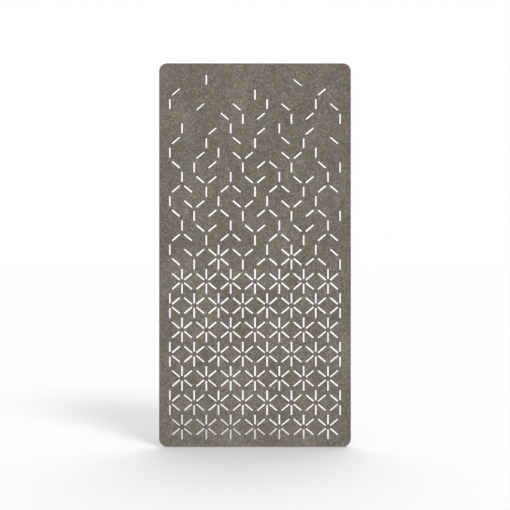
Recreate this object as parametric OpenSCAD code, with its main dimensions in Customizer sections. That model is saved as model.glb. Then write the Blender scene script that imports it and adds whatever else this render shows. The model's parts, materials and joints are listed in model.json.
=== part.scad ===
// Hanging room divider: a felt board cut through with a lattice of slots.
// Two felt plies are bonded face to face, and two threaded anchors are let in between them.
// Millimetres. X runs along the width, Y through the thickness, with the front at -Y, and Z is up.
// The origin is in the middle of the top edge, halfway between the two anchors.

/* [Board] */
// Width of the board, side to side
board_w = 1200; // [1060:10:1800]
// Height of the board, top to bottom
board_h = 2400; // [1500:10:3000]
// Radius of the four corners
corner_r = 50; // [10:1:60]
// Thickness of each felt ply
ply_t = 5.9; // [5.6:0.1:9]
// Thickness of the bond film between the plies
film_t = 0.2; // [0.1:0.05:0.4]

/* [Slot lattice] */
// Distance between neighbouring stars of one row
star_pitch = 152.5; // [145:0.5:200]
// Distance from one row of stars to the next
row_pitch = 152.1; // [145:0.1:200]
// Depth of the first row of stars under the top edge
first_row = 148.5; // [146:0.5:200]
// Length of a slot
slot_l = 63; // [40:0.5:66]
// Width of a slot
slot_w = 10.5; // [6:0.1:12.6]
// Distance from a star's centre to the middle of its upright slots
upright_reach = 46.5; // [45:0.5:52]
// Height of a slanted slot's middle above or below its star's centre
slanted_rise = 29.2; // [28:0.1:34]
// Slope of the slanted slots, in degrees
slant_angle = 40; // [36:1:44]
// Least felt left between a slot and the edge of the board
edge_felt = 20; // [10:1:40]

/* [Anchors] */
// Distance from each side edge of the board to its anchor
anchor_inset = 150; // [110:5:400]
// Radius of the threaded hole, at the crests of its thread
thread_r = 2.1; // [1.6:0.05:2.6]
// Depth of the threaded hole
thread_depth = 15; // [8:1:17]
// Depth of the chamfer at the hole's mouth
mouth_chamfer = 0.5; // [0.2:0.1:0.8]
// Radius of the barrel
barrel_r = 4; // [3.4:0.1:4.6]
// Length of the barrel, with its flange
barrel_l = 26; // [24:1:30]
// Radius of the barrel's flange
flange_r = 5.2; // [4.8:0.1:5.6]
// Thickness of the barrel's flange
flange_t = 1.2; // [0.8:0.1:2]
// Width of the anchor plate
plate_w = 72; // [56:1:90]
// Height of the anchor plate
plate_h = 34; // [30:1:40]
// Thickness of the anchor plate
plate_t = 1.5; // [1:0.1:2]
// Radius of the plate's corners
plate_corner_r = 5; // [2:0.5:8]
// How far the plate reaches up into the slot in the barrel
plate_bite = 8; // [6:0.5:8]
// Radius of the glue holes in the plate
glue_hole_r = 2.5; // [1.5:0.1:3]
// Distance from one glue hole to the next
glue_hole_pitch = 9; // [8:0.5:12]
// Least metal left between a glue hole and the plate's edge
plate_edge = 3; // [2:0.5:5]
// Radius of the rivet that holds the barrel on the plate
rivet_r = 1.25; // [1:0.05:1.5]

/* [Clearances] */
// Room around the metal in the felt
felt_gap = 0.1; // [0.05:0.05:0.3]
// Room at the end of the slot in the barrel
bite_gap = 0.1; // [0.05:0.05:0.3]

/* [Hidden] */

$fn = 64;
felt_colour = [0.47, 0.45, 0.41];
film_colour = [0.80, 0.78, 0.72];
zinc_colour = [0.70, 0.71, 0.72];
LEFT = -1;
RIGHT = 1;
FRONT = -1;
BACK = 1;
over = 1; // how far a cutting tool runs past the face that it cuts

board_t = 2 * ply_t + film_t;

// ---- The lattice -------------------------------------------------------------------------
// A star has six slots around its centre, named by the hours of a clock face.
STAR = [12, 2, 4, 6, 8, 10];
WYE = [10, 2, 6];
ROOF = [12, 4, 8];
// The top rows thin out: the slots that each star keeps, row by row from the top and from left
// to right. The middle of each line lies over the middle of the board.
THINNED_ROWS = [
    [[8], [12], [], [6], [], [10], [8]],
    [[12], [2], [4], [10, 6], [12, 8], [10, 6], [12, 8], [10, 6]],
    [[12, 8], [2, 6], [12, 4], [2, 6], [12, 4], [2, 6], [4]],
    [[12, 4], [2, 6], [12, 8], WYE, [4, 8], WYE, [12, 4], [6]],
    [ROOF, WYE, ROOF, WYE, ROOF, WYE, ROOF],
    [ROOF, WYE, ROOF, WYE, ROOF, WYE, ROOF, [6]],
    [ROOF, WYE, ROOF, WYE, ROOF, WYE, ROOF],
    [ROOF, WYE, STAR, WYE, ROOF, STAR, ROOF, WYE],
];

last_row = floor((board_h - first_row) / row_pitch);
last_col = ceil(board_w / star_pitch);

// The slots that the star in this row and column keeps. Columns are half a star pitch apart,
// counted from the middle of the board. Past the ends of a thinned row, the forms alternate.
function kept(row, col) =
    row >= len(THINNED_ROWS) ? STAR
    : let (line = THINNED_ROWS[row], i = (col + len(line) - 1) / 2)
      i >= 0 && i < len(line) ? line[i]
      : (i + row) % 2 == 0 ? ROOF
      : WYE;

// Where the slot at this hour lies from its star's centre: [across, up, slope].
function slot_at(hour) =
    hour == 12 ? [0, upright_reach, 90]
    : hour == 6 ? [0, -upright_reach, 90]
    : let (side = hour < 6 ? 1 : -1, level = hour == 2 || hour == 10 ? 1 : -1)
      [side * star_pitch / 4, level * slanted_rise, side * level * slant_angle];

// How far a slot of this slope reaches across and up from its middle.
function reach_x(slope) = (slot_l * abs(cos(slope)) + slot_w * abs(sin(slope))) / 2;
function reach_z(slope) = (slot_l * abs(sin(slope)) + slot_w * abs(cos(slope))) / 2;

function inside_board(slot) =
    abs(slot[0]) + reach_x(slot[2]) <= board_w / 2 - edge_felt
    && slot[1] + reach_z(slot[2]) <= -edge_felt
    && slot[1] - reach_z(slot[2]) >= edge_felt - board_h;

// Every slot of the board: [across, up, slope]. Stars of odd rows stand between those of even rows.
SLOTS = [
    for (row = [0:last_row], col = [-last_col:last_col])
        if ((row + col) % 2 == 0)
            for (hour = kept(row, col))
                let (s = slot_at(hour),
                     slot = [col * star_pitch / 2 + s[0], s[1] - first_row - row * row_pitch, s[2]])
                    if (inside_board(slot)) slot
];

module slots() {
    for (slot = SLOTS)
        translate([slot[0], 0, slot[1]])
            rotate([0, -slot[2], 0])
                cube([slot_l, board_t + 2 * over, slot_w], center = true);
}

// ---- The board ---------------------------------------------------------------------------
module rounded_rectangle(w, h, r) {
    square([w - 2 * r, h], center = true);
    square([w, h - 2 * r], center = true);
    for (x = [-1, 1], y = [-1, 1])
        translate([x * (w / 2 - r), y * (h / 2 - r)]) circle(r);
}

// A flat sheet that stands in the XZ plane, from y to y + t, with its top edge at z.
module upright_sheet(w, h, r, y, t, z) {
    translate([0, y + t, z - h / 2])
        rotate([90, 0, 0])
            linear_extrude(t) rounded_rectangle(w, h, r);
}

// A sheet of the board with its slots: a ply, or the film.
module board_sheet(y, t) {
    difference() {
        upright_sheet(board_w, board_h, corner_r, y, t, 0);
        slots();
    }
}

anchor_x = board_w / 2 - anchor_inset;
plate_top = plate_bite - barrel_l;
rivet_z = plate_top - plate_bite / 2;

// What each anchor needs cut out of the felt and the film.
module anchor_room() {
    for (side = [LEFT, RIGHT])
        translate([side * anchor_x, 0, 0]) {
            upright_sheet(plate_w + 2 * felt_gap, plate_h + 2 * felt_gap, plate_corner_r + felt_gap,
                          -plate_t / 2, plate_t, plate_top + felt_gap);
            translate([0, 0, -barrel_l - felt_gap])
                cylinder(r = barrel_r + felt_gap, h = barrel_l + felt_gap + over);
            translate([0, 0, -flange_t])
                cylinder(r = flange_r + felt_gap, h = flange_t + over);
        }
}

module felt_ply(side) {
    color(felt_colour)
        difference() {
            board_sheet(side == FRONT ? -board_t / 2 : film_t / 2, ply_t);
            anchor_room();
        }
}

module bond_film() {
    color(film_colour)
        difference() {
            board_sheet(-film_t / 2, film_t);
            anchor_room();
        }
}

// ---- The anchors -------------------------------------------------------------------------
glue_hole_first = barrel_r + plate_edge + glue_hole_r;
glue_cols = floor((plate_w / 2 - plate_edge - glue_hole_r - glue_hole_first) / glue_hole_pitch);
glue_rows = floor((plate_h - 2 * (plate_edge + glue_hole_r)) / glue_hole_pitch);

module rivet(extra) {
    rotate([90, 0, 0])
        cylinder(r = rivet_r, h = 2 * sqrt(pow(barrel_r, 2) - pow(rivet_r, 2)) + extra, center = true);
}

// A steel plate with rows of holes that the glue grips, on both sides of the barrel.
module anchor_plate(side) {
    color(zinc_colour)
        translate([side * anchor_x, 0, 0])
            difference() {
                upright_sheet(plate_w, plate_h, plate_corner_r, -plate_t / 2, plate_t, plate_top);
                translate([0, 0, rivet_z]) rivet(over);
                for (half = [LEFT, RIGHT], i = [0:glue_cols], j = [0:glue_rows])
                    translate([half * (glue_hole_first + i * glue_hole_pitch), 0,
                               plate_top - plate_h / 2 + (j - glue_rows / 2) * glue_hole_pitch])
                        rotate([90, 0, 0])
                            cylinder(r = glue_hole_r, h = plate_t + 2 * over, center = true);
            }
}

// A turned barrel: a flange at its mouth, a threaded hole, and a slot at its foot for the plate.
module anchor_barrel(side) {
    color(zinc_colour)
        translate([side * anchor_x, 0, 0])
            difference() {
                union() {
                    translate([0, 0, -barrel_l]) cylinder(r = barrel_r, h = barrel_l);
                    translate([0, 0, -flange_t]) cylinder(r = flange_r, h = flange_t);
                }
                translate([0, 0, -thread_depth]) cylinder(r = thread_r, h = thread_depth + over);
                translate([0, 0, -mouth_chamfer])
                    cylinder(r1 = thread_r, r2 = thread_r + mouth_chamfer + over, h = mouth_chamfer + over);
                translate([-barrel_r - over, -plate_t / 2, -barrel_l - over])
                    cube([2 * (barrel_r + over), plate_t, over + plate_bite + bite_gap]);
                translate([0, 0, rivet_z]) rivet(over);
            }
}

module anchor_rivets() {
    color(zinc_colour)
        for (side = [LEFT, RIGHT])
            translate([side * anchor_x, 0, rivet_z]) rivet(0);
}

felt_ply(FRONT);  // felt_front
felt_ply(BACK);  // felt_back
bond_film();
anchor_plate(LEFT);  // anchor_plate_left
anchor_plate(RIGHT);  // anchor_plate_right
anchor_barrel(LEFT);  // anchor_barrel_left
anchor_barrel(RIGHT);  // anchor_barrel_right
anchor_rivets();
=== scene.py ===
# %% [markdown]
# # A hanging felt room divider
#
# The object is a tall board of needled felt, cut through with a lattice of slots that thins out
# towards the top. It is built from two felt plies with a bond film between them, and two small
# steel anchors sit inside its top edge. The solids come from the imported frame, and this script
# gives them their looks: soft cut edges, real threads, and procedural finishes.

# %% Load the frame
import json
import math

import bmesh
import bpy
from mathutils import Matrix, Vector


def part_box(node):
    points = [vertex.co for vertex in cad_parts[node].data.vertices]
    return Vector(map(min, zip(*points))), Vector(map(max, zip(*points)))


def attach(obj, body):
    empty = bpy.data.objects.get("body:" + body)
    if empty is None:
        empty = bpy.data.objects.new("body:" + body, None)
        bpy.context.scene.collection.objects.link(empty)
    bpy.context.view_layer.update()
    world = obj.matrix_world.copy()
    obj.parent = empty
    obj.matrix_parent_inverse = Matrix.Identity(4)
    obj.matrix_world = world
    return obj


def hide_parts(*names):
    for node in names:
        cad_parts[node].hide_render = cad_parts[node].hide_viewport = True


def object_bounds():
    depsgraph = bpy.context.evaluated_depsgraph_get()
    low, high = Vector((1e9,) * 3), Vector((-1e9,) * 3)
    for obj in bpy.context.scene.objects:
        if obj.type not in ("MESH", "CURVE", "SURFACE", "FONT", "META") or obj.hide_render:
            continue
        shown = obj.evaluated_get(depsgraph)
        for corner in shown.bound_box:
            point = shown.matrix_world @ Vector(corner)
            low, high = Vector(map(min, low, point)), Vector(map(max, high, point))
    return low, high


MM = 0.001

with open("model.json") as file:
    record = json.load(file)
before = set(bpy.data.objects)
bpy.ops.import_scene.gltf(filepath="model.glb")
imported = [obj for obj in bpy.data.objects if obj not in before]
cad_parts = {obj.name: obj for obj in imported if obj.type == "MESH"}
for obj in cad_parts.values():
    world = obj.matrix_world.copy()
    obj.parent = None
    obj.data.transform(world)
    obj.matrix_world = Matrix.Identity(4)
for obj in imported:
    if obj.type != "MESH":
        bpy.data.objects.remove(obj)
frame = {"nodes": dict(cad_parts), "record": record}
cad_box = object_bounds()
board_low, board_high = cad_box
board_width = board_high.x - board_low.x
board_height = board_high.z - board_low.z
board_thickness = board_high.y - board_low.y
print(f"board {board_width:.3f} x {board_height:.3f} x {board_thickness:.3f} m")

# %% [markdown]
# ## The camera
#
# The photograph is taken square on: the board's edges are exactly parallel, so the lens is level
# and looks at the middle of the board. Its distance follows from how wide the board is in the
# picture. A 50 mm lens matches the way the floor and the sides of the slots are seen.

# %% Camera
PICTURE_PIXELS = 510  # side of the photograph
BOARD_PIXELS = 191.7  # width of the board in it
LENS_MM = 50
SENSOR_MM = 36

picture_width = board_width * PICTURE_PIXELS / BOARD_PIXELS
camera_distance = picture_width * LENS_MM / SENSOR_MM
board_middle = (board_low.z + board_high.z) / 2

bpy.ops.object.select_all(action="DESELECT")
bpy.ops.object.camera_add(
    location=(0, board_low.y - camera_distance, board_middle),
    rotation=(math.radians(90), 0, 0),
)
camera = bpy.context.object
camera.name = "camera"
camera.data.lens = LENS_MM
camera.data.sensor_width = SENSOR_MM
camera.data.clip_end = 200
bpy.context.scene.camera = camera
print(f"camera {camera_distance:.3f} m in front of the board")

# %% [markdown]
# ## Small helpers for materials
#
# A procedural material is a graph of nodes. Short helpers keep the graphs readable: one adds a
# node and fills in its sockets, one does a sum, and one starts a material with its shader.


# %% Material helpers
def plug(tree, target, name, value):
    """Fills the input of this name or number with a value, or with another node's output."""
    socket = target.inputs[name]
    if isinstance(value, bpy.types.NodeSocket):
        tree.links.new(value, socket)
    else:
        socket.default_value = value


def add_node(tree, kind, settings=None, **sockets):
    """Adds a node. Settings are its own properties, and sockets are filled by their names."""
    made = tree.nodes.new(kind)
    for name, value in (settings or {}).items():
        setattr(made, name, value)
    for name, value in sockets.items():
        plug(tree, made, name.replace("_", " "), value)
    return made


def maths(tree, operation, first, second=0.0):
    made = add_node(tree, "ShaderNodeMath", {"operation": operation})
    plug(tree, made, 0, first)
    plug(tree, made, 1, second)
    return made.outputs[0]


def stretch(tree, value, low, high, new_low=0.0, new_high=1.0):
    """Maps low to high onto new_low to new_high, and clamps what lies outside."""
    made = add_node(tree, "ShaderNodeMapRange", Value=value)
    plug(tree, made, "From Min", low)
    plug(tree, made, "From Max", high)
    plug(tree, made, "To Min", new_low)
    plug(tree, made, "To Max", new_high)
    return made.outputs[0]


def mix_colours(tree, factor, first, second, blend="MIX"):
    made = add_node(tree, "ShaderNodeMix", {"data_type": "RGBA", "blend_type": blend})
    plug(tree, made, 0, factor)
    plug(tree, made, 6, first)
    plug(tree, made, 7, second)
    return made.outputs[2]


def scaled(tree, vector, factor):
    """A colour or vector times a number."""
    made = add_node(tree, "ShaderNodeVectorMath", {"operation": "SCALE"}, Vector=vector, Scale=factor)
    return made.outputs[0]


def noise(tree, vector, size, detail=0.0, roughness=0.5):
    """Noise with lumps of about this size in metres. It swings about 0.5."""
    made = add_node(tree, "ShaderNodeTexNoise", Vector=vector, Scale=1 / size, Detail=detail)
    plug(tree, made, "Roughness", roughness)
    return made.outputs["Fac"]


def drawn_out(tree, vector, turn, scale):
    """Turns a pattern by some degrees on the board's face, and stretches it along its own axes."""
    made = add_node(tree, "ShaderNodeMapping", {"vector_type": "TEXTURE"}, Vector=vector)
    plug(tree, made, "Rotation", (0, math.radians(turn), 0))
    plug(tree, made, "Scale", scale)
    return made.outputs[0]


def new_group(name, inputs, outputs):
    """An empty node group. Inputs and outputs are pairs of a socket's name and its kind."""
    group = bpy.data.node_groups.new(name, "ShaderNodeTree")
    for label, kind in inputs:
        group.interface.new_socket(label, in_out="INPUT", socket_type="NodeSocket" + kind)
    for label, kind in outputs:
        group.interface.new_socket(label, in_out="OUTPUT", socket_type="NodeSocket" + kind)
    given = group.nodes.new("NodeGroupInput")
    result = group.nodes.new("NodeGroupOutput")
    return group, given.outputs, result


def new_material(name):
    """A material with its shader, and the place on the piece that its patterns follow."""
    material = bpy.data.materials.new(name)
    material.use_nodes = True
    tree = material.node_tree
    where = tree.nodes.new("ShaderNodeTexCoord").outputs["Object"]
    return material, tree, tree.nodes["Principled BSDF"], where


def add_relief(tree, shader, height, strength, distance):
    relief = add_node(tree, "ShaderNodeBump", Height=height, Strength=strength, Distance=distance)
    plug(tree, shader, "Normal", relief.outputs["Normal"])


def screen_colour(red, green, blue):
    """A colour as read off a screen, 0 to 255, as the linear colour that a shader takes."""
    def linear(level):
        return level / 12.92 if level <= 0.04045 else ((level + 0.055) / 1.055) ** 2.4

    return (linear(red / 255), linear(green / 255), linear(blue / 255), 1.0)


# %% [markdown]
# ## Fibres
#
# Felt is a tangle of fibres, and dyed felt has pale and dark ones. One fibre could be a curve, but
# a board holds millions. So fibres are noise as well: squeezed across to a fibre's width, drawn
# out to its length, and bent so that they don't look combed. Only the crests of each noise are
# kept, so that a fibre is thin and has wool on both sides. Three directions of them are laid over
# each other for the pale fibres, and three others for the dark ones.
#
# The width and length are inputs, because the same group draws coarse bundles and fine hairs.

# %% Group: fibres
PALE_TURNS = (12, 71, 128)  # directions on the board's face, in degrees
DARK_TURNS = (40, 97, 160)

fibres, given, result = new_group(
    "fibres",
    [("Vector", "Vector"), ("Width", "Float"), ("Length", "Float")],
    [("Pale", "Float"), ("Dark", "Float")],
)
slimness = add_node(fibres, "ShaderNodeCombineXYZ", Y=1.0, Z=1.0)
plug(fibres, slimness, "X", maths(fibres, "DIVIDE", given["Length"], given["Width"]))
fineness = maths(fibres, "DIVIDE", 1.0, given["Width"])
swirls = add_node(fibres, "ShaderNodeTexNoise", Vector=given["Vector"], Detail=1.0)
plug(fibres, swirls, "Scale", maths(fibres, "DIVIDE", 0.8, given["Length"]))
sway = maths(fibres, "MULTIPLY", given["Length"], 0.6)
bent = add_node(fibres, "ShaderNodeVectorMath", {"operation": "ADD"})
plug(fibres, bent, 0, given["Vector"])
plug(fibres, bent, 1, scaled(fibres, swirls.outputs["Color"], sway))
for label, turns in (("Pale", PALE_TURNS), ("Dark", DARK_TURNS)):
    laid = 0.0
    for turn in turns:
        lumps = add_node(fibres, "ShaderNodeTexNoise", Scale=fineness, Detail=1.0)
        plug(fibres, lumps, "Vector", drawn_out(fibres, bent.outputs[0], turn, slimness.outputs[0]))
        crests = stretch(fibres, lumps.outputs["Fac"], 0.48, 0.78)
        laid = maths(fibres, "MAXIMUM", crests, laid)
    plug(fibres, result, label, laid)
print("group made:", fibres.name)

# %% [markdown]
# ## Heather: the dyed fibre mix
#
# Felt for such boards is carded from fibres of several dye lots. From afar it is a soft mottle:
# wide clouds, clumps as big as a coin, and a grain of pale and dark fibres, some of them in
# bundles. One noise with many octaves would tie all these sizes together, so here each size is a
# layer of its own with its own contrast. Clouds and clumps are soft noise, and bundles and grain
# are the fibres group at two sizes.
#
# The layers are summed up and taken as a power, so that pale spots are as much lighter than the
# wool around them as dark spots are darker. A pale fibre has taken up less dye, so it is greyer
# too: red follows the sum a little less than blue does. That makes Tone, a colour near 1 which
# the wool is multiplied by. The other two outputs are masks. Warmth runs from cool grey to warm
# brown in wide patches, and Blush from olive to mauve in smaller ones.

# %% Group: heather
LUMP_SIZES = {"Cloud": 240 * MM, "Clump": 45 * MM}
STRAND_SIZES = {"Bundle": (5 * MM, 50 * MM), "Grain": (2.4 * MM, 13 * MM)}  # width and length
PATCH_SIZES = {"Warmth": 150 * MM, "Blush": 110 * MM}
DYE_SHARES = {"X": 0.95, "Y": 0.99, "Z": 1.06}  # how strongly red, green and blue follow the sum


def strands_of(tree, vector, width, length):
    """The fibres group, placed in a tree at this size."""
    settings = {"node_tree": fibres}
    return add_node(tree, "ShaderNodeGroup", settings, Vector=vector, Width=width, Length=length)


heather, given, result = new_group(
    "heather",
    [("Vector", "Vector")] + [(label, "Float") for label in (*LUMP_SIZES, *STRAND_SIZES)],
    [("Tone", "Vector")] + [(label, "Float") for label in PATCH_SIZES],
)
place = given["Vector"]
total = 0.0
for label, size in LUMP_SIZES.items():
    swing = maths(heather, "SUBTRACT", noise(heather, place, size, 2), 0.5)
    total = maths(heather, "ADD", maths(heather, "MULTIPLY", swing, given[label]), total)
for label, (width, length) in STRAND_SIZES.items():
    strands = strands_of(heather, place, width, length)
    swing = maths(heather, "SUBTRACT", strands.outputs["Pale"], strands.outputs["Dark"])
    total = maths(heather, "ADD", maths(heather, "MULTIPLY", swing, given[label]), total)
tone = add_node(heather, "ShaderNodeCombineXYZ")
for channel, share in DYE_SHARES.items():
    plug(heather, tone, channel, maths(heather, "POWER", math.e**share, total))
plug(heather, result, "Tone", tone.outputs[0])
for label, size in PATCH_SIZES.items():
    patches = noise(heather, place, size, 2, 0.6)
    plug(heather, result, label, stretch(heather, patches, 0.25, 0.75))
print("group made:", heather.name)

# %% [markdown]
# ## Felt faces and cut edges
#
# The wool's colour is mixed from four close greys with the heather's masks, then lightened or
# darkened by its tone, and single hairs lie over it. Felt is matt, with a faint sheen from hairs
# that stand up. The relief is a bump only, because a tenth of a millimetre of nap is far too
# small to model.
#
# A cut edge looks into the mat, where the carded webs lie in layers along the board. There the
# same wool is darker, partly because the cut mat is denser and partly as painted shade that the
# hairs cast on the slot walls, and its fibres are squeezed into fine streaks that run along it.

# %% Felt materials
COOL = screen_colour(116, 113, 106)
WARM = screen_colour(125, 112, 98)
OLIVE = screen_colour(119, 117, 98)
MAUVE = screen_colour(122, 109, 105)
PALE_HAIR = screen_colour(150, 142, 130)
HAIR_WIDTH = 0.35 * MM
HAIR_LENGTH = 12 * MM
HAIR_COVER = 0.35
LAYER_THINNED = 9  # how much thinner a carded layer is across the board than along it
CONTRASTS = {"Cloud": 0.72, "Clump": 0.53, "Bundle": 0.56, "Grain": 1.28}


def felt_material(name, level, contrast, nap, layered):
    """Felt that throws back level times its colours, with its mottle at this contrast."""
    material, tree, shader, where = new_material(name)
    if layered:
        squeezed = add_node(tree, "ShaderNodeMapping", Vector=where)
        plug(tree, squeezed, "Scale", (1, LAYER_THINNED, 1))
        where = squeezed.outputs[0]
    wool = add_node(tree, "ShaderNodeGroup", {"node_tree": heather}, Vector=where)
    for layer, gain in CONTRASTS.items():
        plug(tree, wool, layer, gain * contrast)
    single = strands_of(tree, where, HAIR_WIDTH, HAIR_LENGTH)
    hairs = maths(tree, "MULTIPLY", single.outputs["Pale"], HAIR_COVER)
    warmth = mix_colours(tree, wool.outputs["Warmth"], COOL, WARM)
    blush = mix_colours(tree, wool.outputs["Blush"], OLIVE, MAUVE)
    dyed = scaled(tree, mix_colours(tree, 0.5, warmth, blush), level)
    toned = mix_colours(tree, 1.0, dyed, wool.outputs["Tone"], "MULTIPLY")
    plug(tree, shader, "Base Color", mix_colours(tree, hairs, toned, PALE_HAIR))
    clumps = maths(tree, "MULTIPLY", wool.outputs["Tone"], 0.5)
    add_relief(tree, shader, maths(tree, "ADD", single.outputs["Pale"], clumps), nap, 0.3 * MM)
    shader.inputs["Roughness"].default_value = 0.95
    shader.inputs["Specular IOR Level"].default_value = 0.15
    shader.inputs["Sheen Weight"].default_value = 0.05
    shader.inputs["Sheen Roughness"].default_value = 0.6
    return material


felt_face = felt_material("felt face", level=0.865, contrast=1.0, nap=0.5, layered=False)
# The cut edge's low level is partly the denser cut mat and partly painted shade on the slot walls.
felt_cut_and_shade = felt_material("felt cut edge and painted shade", level=0.60, contrast=0.8, nap=0.8, layered=True)
print("felts made:", felt_face.name, "and", felt_cut_and_shade.name)

# %% [markdown]
# ## Handling marks on metal
#
# All three metals share fine scratches and dull smudges. Scratches are thin crests of stretched
# noise, as the hairs are, and smudges are soft noise. The group gives both as masks, and each
# metal uses them at its own strength.

# %% Group: handling marks
SCRATCH_WIDTH = 0.12 * MM
SCRATCH_LENGTH = 4 * MM
SCRATCH_TURNS = (23, 101, 158)
SMUDGE_SIZE = 6 * MM

marks, given, result = new_group(
    "handling marks",
    [("Vector", "Vector"), ("Depth", "Float")],
    [("Scratches", "Float"), ("Smudges", "Float")],
)
scratched = 0.0
for turn in SCRATCH_TURNS:
    laid = drawn_out(marks, given["Vector"], turn, (SCRATCH_LENGTH / SCRATCH_WIDTH, 1, 1))
    lines = noise(marks, laid, SCRATCH_WIDTH, 1)
    scratched = maths(marks, "MAXIMUM", stretch(marks, lines, 0.66, 0.76), scratched)
plug(marks, result, "Scratches", maths(marks, "MULTIPLY", scratched, given["Depth"]))
smudges = noise(marks, given["Vector"], SMUDGE_SIZE, 3, 0.6)
plug(marks, result, "Smudges", stretch(marks, smudges, 0.35, 0.65))
print("group made:", marks.name)

# %% [markdown]
# ## The metals
#
# The plates are bright zinc on rolled sheet: a cool grey with the grain of the rolling along it
# and a faint straw tint where the passivated zinc varies. The barrels are turned, so fine rings
# from the tool run round them, which are a wave along their axis. The rivets are drawn wire with
# small dents. What the three have in common is made once, and each adds its own grain.


# %% Metal materials
SCRATCH_COLOUR = (0.82, 0.82, 0.82, 1.0)
DRIFT_SIZE = 9 * MM
ROLLING_WIDTH = 0.15 * MM
ROLLING_SQUEEZE = 0.02  # how much slower the grain changes along the rolling than across it
RING_WIDTH = 0.9 * MM
DENT_SIZE = 0.6 * MM


def metal_material(name, colour, tint, polished, dulled, scratch_depth):
    """A metal with a slow drift of tint, smudges that dull it, and scratches."""
    material, tree, shader, where = new_material(name)
    worn = add_node(tree, "ShaderNodeGroup", {"node_tree": marks}, Vector=where, Depth=scratch_depth)
    scratches = worn.outputs["Scratches"]
    drift = stretch(tree, noise(tree, where, DRIFT_SIZE, 2), 0.3, 0.7)
    tinted = mix_colours(tree, drift, colour, tint)
    plug(tree, shader, "Base Color", mix_colours(tree, scratches, tinted, SCRATCH_COLOUR))
    plug(tree, shader, "Roughness", stretch(tree, worn.outputs["Smudges"], 0, 1, polished, dulled))
    shader.inputs["Metallic"].default_value = 1.0
    return material, tree, shader, where, scratches


zinc, tree, shader, where, scratches = metal_material(
    "zinc plated sheet",
    colour=screen_colour(196, 201, 207),
    tint=screen_colour(205, 203, 190),
    polished=0.30,
    dulled=0.46,
    scratch_depth=0.5,
)
rolled = add_node(tree, "ShaderNodeMapping", Vector=where)
plug(tree, rolled, "Scale", (ROLLING_SQUEEZE, 1, 1))
grain = noise(tree, rolled.outputs[0], ROLLING_WIDTH, 3, 0.7)
add_relief(tree, shader, maths(tree, "SUBTRACT", grain, scratches), 0.25, 0.02 * MM)

turned_steel, tree, shader, where, scratches = metal_material(
    "turned steel",
    colour=screen_colour(188, 187, 184),
    tint=screen_colour(176, 174, 170),
    polished=0.22,
    dulled=0.34,
    scratch_depth=0.3,
)
rings = add_node(tree, "ShaderNodeTexWave", {"bands_direction": "Z"}, Vector=where, Distortion=0.6)
plug(tree, rings, "Scale", 1 / RING_WIDTH)
add_relief(tree, shader, maths(tree, "SUBTRACT", rings.outputs["Fac"], scratches), 0.3, 0.01 * MM)

wire, tree, shader, where, scratches = metal_material(
    "rivet steel",
    colour=screen_colour(170, 168, 165),
    tint=screen_colour(158, 155, 151),
    polished=0.34,
    dulled=0.50,
    scratch_depth=0.6,
)
dents = noise(tree, where, DENT_SIZE, 2, 0.6)
add_relief(tree, shader, maths(tree, "SUBTRACT", dents, scratches), 0.35, 0.03 * MM)
print("metals made:", zinc.name, turned_steel.name, wire.name)

# %% [markdown]
# ## Small helpers for modelling
#
# Operators act on what is selected, so each piece is first made the only selected one. A copy of
# a CAD node starts as loose triangles, and merging its double points turns it into one skin that
# can be edited. Faces are then picked by a test on each face, such as the way it looks.


# %% Modelling helpers
def only(piece):
    """Makes this piece the active one, and the only one that is selected."""
    bpy.ops.object.select_all(action="DESELECT")
    piece.select_set(True)
    bpy.context.view_layer.objects.active = piece


def merged_copy(node, name):
    """A copy of a CAD node's mesh as a new piece, with its triangles joined into one skin."""
    mesh = frame["nodes"][node].data.copy()
    mesh.name = name
    piece = bpy.data.objects.new(name, mesh)
    bpy.context.collection.objects.link(piece)
    only(piece)
    bpy.ops.mesh.customdata_custom_splitnormals_clear()
    bpy.ops.object.mode_set(mode="EDIT")
    bpy.ops.mesh.select_all(action="SELECT")
    bpy.ops.mesh.remove_doubles(threshold=0.002 * MM)
    bpy.ops.object.mode_set(mode="OBJECT")
    return piece


def pick_faces(piece, test):
    """In edit mode, selects just the faces that pass the test, and says how many they are."""
    bpy.ops.mesh.select_mode(type="FACE")
    bpy.ops.mesh.select_all(action="DESELECT")
    sketch = bmesh.from_edit_mesh(piece.data)
    for face in sketch.faces:
        face.select_set(bool(test(face)))
    bmesh.update_edit_mesh(piece.data)
    return sum(face.select for face in sketch.faces)


def apply_modifier(piece, kind, **settings):
    only(piece)
    bpy.ops.object.modifier_add(type=kind)
    modifier = piece.modifiers[-1]
    for name, value in settings.items():
        setattr(modifier, name, value)
    bpy.ops.object.modifier_apply(modifier=modifier.name)


def own_copy(piece, name):
    """A second piece of the same shape, with a mesh of its own."""
    twin = piece.copy()
    twin.data = piece.data.copy()
    twin.name = twin.data.name = name
    bpy.context.collection.objects.link(twin)
    return twin


def move_mesh(piece, offset):
    """Moves the piece's mesh by this much, and leaves its object at the origin."""
    only(piece)
    piece.location = offset
    bpy.ops.object.transform_apply(location=True, rotation=False, scale=False)


# %% [markdown]
# ## Rounder corners
#
# The frame holds each corner of the board as an arc of a few straight steps, and from close by
# they show in its outline. So each step is subdivided, and the new points are pushed outwards
# until they lie on the arc. The film and both plies get the same points, and their edges stay
# flush.
#
# Each corner is looked at as if it were the upper right one. A point's spoke is how far it lies
# outside the centre of the arc, across and up.

# %% Corner arcs
CORNER_RADIUS = 50 * MM
CORNER_CUTS = 3
ON_ARC = 0.2 * MM  # the steps lie less than this inside the arc

centre_across = board_width / 2 - CORNER_RADIUS
centre_up = board_height / 2 - CORNER_RADIUS
print(f"corner arcs: radius {CORNER_RADIUS / MM:.0f} mm, {CORNER_CUTS} new points in each step")


def spoke(point):
    return Vector((abs(point.x) - centre_across, abs(point.z - board_middle) - centre_up))


def on_arc(point):
    return min(spoke(point)) > -ON_ARC and spoke(point).length > CORNER_RADIUS - ON_ARC


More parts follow.
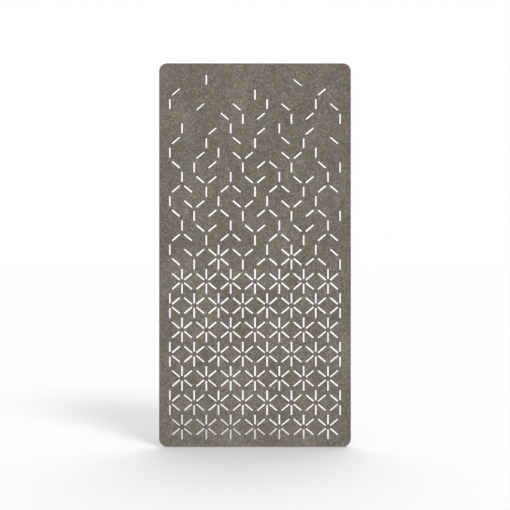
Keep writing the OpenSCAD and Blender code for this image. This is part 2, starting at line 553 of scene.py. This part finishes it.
def round_corners(piece):
    """Splits the steps of the corner arcs, and sets the new points on the arcs themselves."""
    bpy.ops.object.mode_set(mode="EDIT")
    bpy.ops.mesh.select_mode(type="EDGE")
    bpy.ops.mesh.select_all(action="DESELECT")
    sketch = bmesh.from_edit_mesh(piece.data)
    for edge in sketch.edges:
        start, end = edge.verts[0].co, edge.verts[1].co
        along = (spoke(start) - spoke(end)).length > ON_ARC
        edge.select_set(along and on_arc(start) and on_arc(end) and on_arc((start + end) / 2))
    bpy.ops.mesh.subdivide(number_cuts=CORNER_CUTS)
    sketch = bmesh.from_edit_mesh(piece.data)
    for vertex in sketch.verts:
        if vertex.select:
            reach = spoke(vertex.co)
            reach *= CORNER_RADIUS / reach.length
            vertex.co.x = math.copysign(centre_across + reach.x, vertex.co.x)
            vertex.co.z = board_middle + math.copysign(centre_up + reach.y, vertex.co.z - board_middle)
    bmesh.update_edit_mesh(piece.data)
    bpy.ops.object.mode_set(mode="OBJECT")


# %% [markdown]
# ## Finishing a piece
#
# A finished piece is shaded smooth, gets its materials and stands for its CAD node: it hides
# that node and rides on the same body. It also counts its open edges, because only a closed skin
# has an inside and an outside.


# %% Finishing helpers
def smooth_below(piece, degrees):
    """Shades the piece smooth over edges that turn by less than this, and crisp over the rest."""
    only(piece)
    bpy.ops.object.shade_smooth_by_angle(angle=math.radians(degrees))


def open_edges(piece):
    """How many edges don't have a face on each side. A closed skin has none."""
    sketch = bmesh.new()
    sketch.from_mesh(piece.data)
    count = sum(len(edge.link_faces) != 2 for edge in sketch.edges)
    sketch.free()
    return count


def dress(piece, *materials):
    """Gives a piece these materials and no others. All its faces start with the first."""
    piece.data.materials.clear()
    for material in materials:
        piece.data.materials.append(material)


def stand_for(piece, node):
    """Puts a finished piece in the place of its CAD node, and says what it is made of."""
    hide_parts(node)
    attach(piece, "root")
    print(f"{piece.name}: {len(piece.data.polygons)} faces, {open_edges(piece)} open edges")


# %% [markdown]
# ## The bond film
#
# The film is a hot-melt web that was pressed between the plies. It has gone milky, its strands
# still show as a fine net, and it has taken the print of the felt. Only its edge shows, in the
# slots and round the board.

# %% Bond film
WEB_CELL = 2.2 * MM
HAZE_SIZE = 30 * MM
MILK = screen_colour(226, 221, 208)
PALE_MILK = screen_colour(236, 233, 224)
STRAND = screen_colour(247, 245, 239)

milky, tree, shader, where = new_material("milky film")
web = add_node(
    tree, "ShaderNodeTexVoronoi", {"feature": "DISTANCE_TO_EDGE"}, Vector=where, Scale=1 / WEB_CELL
)
strands = stretch(tree, web.outputs["Distance"], 0.0, 0.12, 1.0, 0.0)
felt_print = strands_of(tree, where, HAIR_WIDTH, HAIR_LENGTH)
printed = maths(tree, "MULTIPLY", felt_print.outputs["Pale"], 0.5)
haze = mix_colours(tree, noise(tree, where, HAZE_SIZE, 2), MILK, PALE_MILK)
haze = mix_colours(tree, maths(tree, "MULTIPLY", strands, 0.5), haze, STRAND)
plug(tree, shader, "Base Color", mix_colours(tree, printed, haze, COOL))
plug(tree, shader, "Roughness", stretch(tree, strands, 0, 1, 0.55, 0.38))
add_relief(tree, shader, maths(tree, "ADD", strands, printed), 0.4, 0.05 * MM)

film = merged_copy("bond_film", "film_sheet")
round_corners(film)
smooth_below(film, 10)
dress(film, milky)
stand_for(film, "bond_film")

# %% [markdown]
# ## The felt plies
#
# A knife that cuts felt leaves an edge that is crisp but never sharp, because the nap curls over
# it by a bit less than a millimetre. A bevel modifier would have to cope with the many long thin
# triangles of the pierced face. Instead the whole outer face is first sunk by the radius of the
# edge, and then raised again in three inset steps. Inset works on the border of the picked
# region alone, so every slot and the outline get their rounding in one go. Each step follows a
# quarter circle: it goes in by the cosine's share and up by the sine's.
#
# All faces start as cut edge, which is the first material: darker felt that also carries painted
# shade on the slot walls. The raised ones get the second, the felt's face.

# %% Plies
EDGE_RADIUS = 0.8 * MM
EDGE_STEPS = 3
FACES_OUT = 0.999  # the least that a normal points outwards on the ply's face


def felt_ply(node, name, outwards):
    """A ply with softened edges. Outwards is -1 for the front ply and 1 for the back one."""
    piece = merged_copy(node, name)
    round_corners(piece)
    dress(piece, felt_cut_and_shade, felt_face)
    outer_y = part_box(node)[0 if outwards < 0 else 1].y
    bpy.ops.object.mode_set(mode="EDIT")
    picked = pick_faces(
        piece,
        lambda face: face.normal.y * outwards > FACES_OUT
        and abs(face.calc_center_median().y - outer_y) < EDGE_RADIUS,
    )
    bpy.ops.transform.translate(value=(0, -outwards * EDGE_RADIUS, 0))
    for step in range(EDGE_STEPS):
        before = math.radians(90 * step / EDGE_STEPS)
        after = math.radians(90 * (step + 1) / EDGE_STEPS)
        bpy.ops.mesh.inset(
            thickness=EDGE_RADIUS * (math.cos(before) - math.cos(after)),
            depth=EDGE_RADIUS * (math.sin(after) - math.sin(before)),
            use_boundary=True,
            use_even_offset=True,
        )
    piece.active_material_index = 1
    bpy.ops.object.material_slot_assign()
    bpy.ops.object.mode_set(mode="OBJECT")
    smooth_below(piece, 10)
    print(f"{name}: {picked} outer faces raised again round softened edges")
    stand_for(piece, node)


felt_ply("felt_front", "front_ply", -1)
felt_ply("felt_back", "back_ply", 1)

# %% [markdown]
# ## The anchor plates
#
# A punched plate has edges that were broken in a tumbler. The CAD node has the holes already, so
# a copy of it only needs a narrow bevel on every sharp edge, which catches a line of light. The
# bevel's own guard against overlaps is off, because it narrows every bevel of a piece as soon as
# one of them lacks room. The plate is bevelled once, and its copy is moved to the other side.

# %% Anchor plates
TUMBLED_EDGE = 0.15 * MM

plate = merged_copy("anchor_plate_right", "zinc_plate_right")
bpy.ops.object.mode_set(mode="EDIT")
bpy.ops.mesh.select_all(action="SELECT")
bpy.ops.mesh.dissolve_limited(angle_limit=math.radians(1))
bpy.ops.object.mode_set(mode="OBJECT")
apply_modifier(
    plate,
    "BEVEL",
    width=TUMBLED_EDGE,
    segments=2,
    limit_method="ANGLE",
    angle_limit=math.radians(40),
    use_clamp_overlap=False,
)
smooth_below(plate, 20)
dress(plate, zinc)
second = own_copy(plate, "zinc_plate_left")
move_mesh(second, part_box("anchor_plate_left")[0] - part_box("anchor_plate_right")[0])
stand_for(plate, "anchor_plate_right")
stand_for(second, "anchor_plate_left")

# %% [markdown]
# ## Turning a profile
#
# Barrels and rivets are round, so both come from a lathe: half of their outline is drawn as a
# chain of points and spun about the axis. The chain is drawn as by hand, from one point that is
# extruded step by step. Points on the axis fall together in the spin and are merged after it.


# %% Lathe
LATHE_STEPS = 64


def draw_chain(name, places):
    """A chain of edges through these places, drawn from one point by extruding it."""
    bpy.ops.object.select_all(action="DESELECT")
    bpy.ops.mesh.primitive_plane_add(size=MM, location=(0, 0, 0))
    piece = bpy.context.object
    piece.name = piece.data.name = name
    bpy.ops.object.mode_set(mode="EDIT")
    bpy.ops.mesh.select_mode(type="VERT")
    bpy.ops.mesh.select_all(action="SELECT")
    bpy.ops.mesh.merge(type="CENTER")
    bpy.ops.transform.translate(value=places[0])
    for start, end in zip(places[:-1], places[1:]):
        bpy.ops.mesh.extrude_region_move(TRANSFORM_OT_translate={"value": end - start})
    bpy.ops.object.mode_set(mode="OBJECT")
    return piece


def close_skin(piece):
    """Merges what fell together and turns all faces outwards."""
    only(piece)
    bpy.ops.object.mode_set(mode="EDIT")
    bpy.ops.mesh.select_all(action="SELECT")
    bpy.ops.mesh.remove_doubles(threshold=0.002 * MM)
    bpy.ops.mesh.normals_make_consistent(inside=False)
    bpy.ops.object.mode_set(mode="OBJECT")


def lathe(name, outline, axis):
    """Spins an outline of (radius, height) points about an axis through the origin."""
    piece = draw_chain(name, [Vector((radius, 0, 0)) + axis * height for radius, height in outline])
    bpy.ops.object.mode_set(mode="EDIT")
    bpy.ops.mesh.select_all(action="SELECT")
    bpy.ops.mesh.spin(steps=LATHE_STEPS, angle=2 * math.pi, center=(0, 0, 0), axis=axis)
    bpy.ops.object.mode_set(mode="OBJECT")
    close_skin(piece)
    return piece


# %% [markdown]
# ## The threaded barrels
#
# A barrel is turned and drilled on a lathe, and then its thread is cut with a tap. Here it is the
# same: the Screw modifier winds the outline of one tooth into a long coil, the coil's two ends
# are filled, and a boolean takes it out of the barrel. The foot is slotted for the plate and
# cross drilled for the rivet in the same way.
#
# Walls and edges that meet exactly confuse a boolean and leave splinters. So the coil's inner
# side lies free in the drilled hole, no turn touches the next, and the coil and the drill are
# turned by half a facet, so that their edges cross the barrel's facets and not its edges.
#
# The barrel is made at X = 0 and moved to its place at the end, when it is copied.

# %% Barrel sizes
UP = Vector((0, 0, 1))
ACROSS = Vector((0, 1, 0))

barrel_low, barrel_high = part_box("anchor_barrel_right")
anchor_x = (barrel_high.x + barrel_low.x) / 2
flange_radius = (barrel_high.x - barrel_low.x) / 2
barrel_length = barrel_high.z - barrel_low.z
hole_radius = frame["record"]["mounts"][0]["dims"]["hole_r_mm"] * MM
BARREL_RADIUS = 4 * MM
FLANGE_THICKNESS = 1.2 * MM
HOLE_DEPTH = 15 * MM
MOUTH_CHAMFER = 0.5 * MM
BROKEN_EDGE = 0.2 * MM
DRILL_POINT = math.radians(31)  # a twist drill leaves a cone with this slope
print(f"barrel: {barrel_length / MM:.1f} mm long, at x = {anchor_x / MM:.1f} mm")

# %% Turned and drilled barrel
barrel = lathe(
    "threaded_barrel_right",
    [
        (0, -barrel_length),
        (BARREL_RADIUS - BROKEN_EDGE, -barrel_length),
        (BARREL_RADIUS, -barrel_length + BROKEN_EDGE),
        (BARREL_RADIUS, -FLANGE_THICKNESS),
        (flange_radius - BROKEN_EDGE, -FLANGE_THICKNESS),
        (flange_radius, -FLANGE_THICKNESS + BROKEN_EDGE),
        (flange_radius, -BROKEN_EDGE),
        (flange_radius - BROKEN_EDGE, 0),
        (hole_radius + MOUTH_CHAMFER, 0),
        (hole_radius, -MOUTH_CHAMFER),
        (hole_radius, -HOLE_DEPTH),
        (0, -HOLE_DEPTH - hole_radius * math.tan(DRILL_POINT)),
    ],
    UP,
)
print(f"{barrel.name}: turned and drilled, {len(barrel.data.polygons)} faces")

# %% Tap
THREAD_RADIUS = 2.5 * MM
THREAD_PITCH = 0.8 * MM
THREAD_DEPTH = 13.5 * MM
THREAD_FLANK = math.radians(30)
TAP_CORE = 1.95 * MM
TAP_STEPS = 32
HALF_FACET = math.pi / LATHE_STEPS

half_crest = THREAD_PITCH / 16  # a tooth's crest is an eighth of the pitch
half_foot = half_crest + (THREAD_RADIUS - TAP_CORE) * math.tan(THREAD_FLANK)
tooth = [
    (TAP_CORE, -half_foot),
    (THREAD_RADIUS, -half_crest),
    (THREAD_RADIUS, half_crest),
    (TAP_CORE, half_foot),
    (TAP_CORE, -half_foot),
]
tap = draw_chain("tap", [Vector((radius, 0, height - THREAD_DEPTH)) for radius, height in tooth])
close_skin(tap)
apply_modifier(
    tap,
    "SCREW",
    axis="Z",
    screw_offset=THREAD_PITCH,
    iterations=math.ceil(THREAD_DEPTH / THREAD_PITCH) + 1,
    steps=TAP_STEPS,
    render_steps=TAP_STEPS,
)
bpy.ops.object.mode_set(mode="EDIT")
bpy.ops.mesh.select_all(action="SELECT")
bpy.ops.mesh.fill_holes(sides=len(tooth))
bpy.ops.object.mode_set(mode="OBJECT")
close_skin(tap)
tap.rotation_euler.z = HALF_FACET
print(f"tap: {len(tap.data.polygons)} faces")


# %% Tapped hole
def cut_away(piece, tool):
    """Takes the tool's space out of the piece, and then the tool out of the scene."""
    apply_modifier(piece, "BOOLEAN", operation="DIFFERENCE", solver="EXACT", object=tool)
    bpy.data.objects.remove(tool)
    print(f"{piece.name}: cut, {open_edges(piece)} open edges")


cut_away(barrel, tap)

# %% Slotted and cross drilled foot
BITE_GAP = 0.1 * MM  # between the plate's upper edge and the end of the slot
OVERRUN = MM  # how far a tool runs past what it cuts

plate_low, plate_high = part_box("anchor_plate_right")
rivet_low, rivet_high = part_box("anchor_rivets")
slot_width = plate_high.y - plate_low.y
slot_top = plate_high.z + BITE_GAP
rivet_radius = (rivet_high.z - rivet_low.z) / 2
rivet_z = (rivet_high.z + rivet_low.z) / 2
cut_length = 2 * (BARREL_RADIUS + OVERRUN)

bpy.ops.object.select_all(action="DESELECT")
bpy.ops.mesh.primitive_cube_add(size=1, location=(0, 0, (slot_top - barrel_length - OVERRUN) / 2))
saw = bpy.context.object
saw.scale = (cut_length, slot_width, slot_top + barrel_length + OVERRUN)
cut_away(barrel, saw)

bpy.ops.object.select_all(action="DESELECT")
bpy.ops.mesh.primitive_cylinder_add(
    vertices=LATHE_STEPS,
    radius=rivet_radius,
    depth=cut_length,
    location=(0, 0, rivet_z),
    rotation=(math.radians(90), HALF_FACET, 0),
)
cut_away(barrel, bpy.context.object)

# %% One barrel on each side
smooth_below(barrel, 25)
dress(barrel, turned_steel)
second = own_copy(barrel, "threaded_barrel_left")
move_mesh(barrel, (anchor_x, 0, 0))
move_mesh(second, (-anchor_x, 0, 0))
stand_for(barrel, "anchor_barrel_right")
stand_for(second, "anchor_barrel_left")

# %% [markdown]
# ## The rivets
#
# A rivet is a pin that was squeezed until its ends swelled into shallow domes, so it sits tight
# in the barrel and nothing can pull the plate out. It is turned as well, about the axis that
# runs through the board. The end's outline is an arc from the rim to the tip of the dome. The
# two rivets are one piece, because the CAD holds them in one node.

# %% Rivets
DOME_RISE = 0.22 * MM
DOME_STEPS = 5

rim = (rivet_high.y - rivet_low.y) / 2
dome_radius = (rivet_radius**2 + DOME_RISE**2) / (2 * DOME_RISE)
dome_edge = math.asin(rivet_radius / dome_radius)
dome = []
for step in range(DOME_STEPS + 1):
    angle = dome_edge * step / DOME_STEPS
    dome.append((dome_radius * math.sin(angle), rim + DOME_RISE - dome_radius * (1 - math.cos(angle))))
outline = [(radius, -height) for radius, height in dome] + dome[::-1]
rivets = lathe("set_rivets", outline, ACROSS)
second = own_copy(rivets, "left_rivet")
move_mesh(second, (-anchor_x, 0, rivet_z))
move_mesh(rivets, (anchor_x, 0, rivet_z))
second.select_set(True)
bpy.ops.object.join()
smooth_below(rivets, 25)
dress(rivets, wire)
stand_for(rivets, "anchor_rivets")

# %% [markdown]
# ## The floor
#
# The board hangs just over a white floor, which runs on so far that it melts into the white
# behind it. Its paint is matt and almost white.
#
# The board's own shadow on the floor would leave its foot darker than its top, but in the
# photograph the felt is as bright at the foot. So the light that the floor throws back on the
# board is an even glow: a ray that left a matt surface meets that glow, and any other ray meets
# the paint with its shadows.

# %% Floor
FLOOR_GAP = 3 * MM
FLOOR_SIZE = 120
FLOOR_WHITE = 0.96
FLOOR_BOUNCE = 0.93

bpy.ops.object.select_all(action="DESELECT")
bpy.ops.mesh.primitive_plane_add(size=FLOOR_SIZE, location=(0, 0, board_low.z - FLOOR_GAP))
floor = bpy.context.object
floor.name = "floor"
bpy.ops.object.transform_apply(location=True, rotation=False, scale=False)
floor_paint, tree, shader, where = new_material("floor paint")
shader.inputs["Base Color"].default_value = (FLOOR_WHITE, FLOOR_WHITE, FLOOR_WHITE, 1)
shader.inputs["Roughness"].default_value = 1.0
shader.inputs["Specular IOR Level"].default_value = 0.0
bounce = add_node(tree, "ShaderNodeEmission", Color=(1, 1, 1, 1), Strength=FLOOR_BOUNCE)
path = add_node(tree, "ShaderNodeLightPath")
either = add_node(tree, "ShaderNodeMixShader")
plug(tree, either, 0, path.outputs["Is Diffuse Ray"])
plug(tree, either, 1, shader.outputs[0])
plug(tree, either, 2, bounce.outputs[0])
plug(tree, tree.nodes["Material Output"], "Surface", either.outputs[0])
floor_paint.cycles.emission_sampling = "NONE"
floor.data.materials.append(floor_paint)
print(f"floor: {FLOOR_SIZE} m wide, {FLOOR_GAP / MM:.0f} mm below the board")

# %% [markdown]
# ## The light
#
# The pale shadows in the photograph tell how it was lit. The floor in front of the board darkens
# softly right up to it, so most of the light comes from above and behind. The streak behind it
# on the left comes from one smaller soft lamp at the front right. Both are suns, because a sun
# with a wide disc is an even soft box that the camera can't see. Metal would mirror the disc of
# the stronger one as a blank white patch, so that lamp is hidden from mirror rays.
#
# The walls of the room are the world: they glow most at the horizon and fade out higher up, and
# what the camera and the metal see of them is plain white.


# %% Lamps
def soft_sun(name, turn, rise, strength, spread, mirrored):
    """A wide sun. Turn is its bearing in degrees from straight behind the board to the right.

    Rise is its height above the floor and spread the width of its disc, both in degrees. Mirrored
    says whether metal shows the disc.
    """
    towards = Vector(
        (
            math.cos(math.radians(rise)) * math.sin(math.radians(turn)),
            math.cos(math.radians(rise)) * math.cos(math.radians(turn)),
            math.sin(math.radians(rise)),
        )
    )
    bpy.ops.object.light_add(type="SUN", location=towards * 5)
    lamp = bpy.context.object
    lamp.name = name
    lamp.rotation_euler = towards.to_track_quat("Z", "Y").to_euler()
    lamp.data.energy = strength
    lamp.data.angle = math.radians(spread)
    lamp.visible_glossy = mirrored
    print(f"{name}: {strength} at bearing {turn}, height {rise}")


soft_sun("key light", turn=138, rise=51, strength=0.95, spread=20, mirrored=True)
soft_sun("top light", turn=25, rise=79, strength=1.80, spread=52, mirrored=False)

# %% Walls
WALL_GLOW = 1.45
WALL_TOP = 0.7  # the upward part of the direction at which the glow has faded out

world = bpy.data.worlds.new("white room")
bpy.context.scene.world = world
world.use_nodes = True
tree = world.node_tree
tree.nodes.clear()
looking = add_node(tree, "ShaderNodeTexCoord").outputs["Generated"]
upwards = add_node(tree, "ShaderNodeSeparateXYZ", Vector=looking).outputs["Z"]
glow = stretch(tree, maths(tree, "ABSOLUTE", upwards), 0, WALL_TOP, WALL_GLOW, 0)
walls = add_node(tree, "ShaderNodeBackground", Color=(1, 1, 1, 1), Strength=glow)
white = add_node(tree, "ShaderNodeBackground", Color=(1, 1, 1, 1), Strength=1.0)
path = add_node(tree, "ShaderNodeLightPath")
seen = maths(tree, "MAXIMUM", path.outputs["Is Camera Ray"], path.outputs["Is Glossy Ray"])
seen = maths(tree, "MAXIMUM", seen, path.outputs["Is Transmission Ray"])
either = add_node(tree, "ShaderNodeMixShader")
plug(tree, either, 0, seen)
plug(tree, either, 1, walls.outputs[0])
plug(tree, either, 2, white.outputs[0])
add_node(tree, "ShaderNodeOutputWorld", Surface=either.outputs[0])
print(f"walls: glow of {WALL_GLOW} at the horizon")

bpy.context.scene.view_settings.view_transform = "Standard"
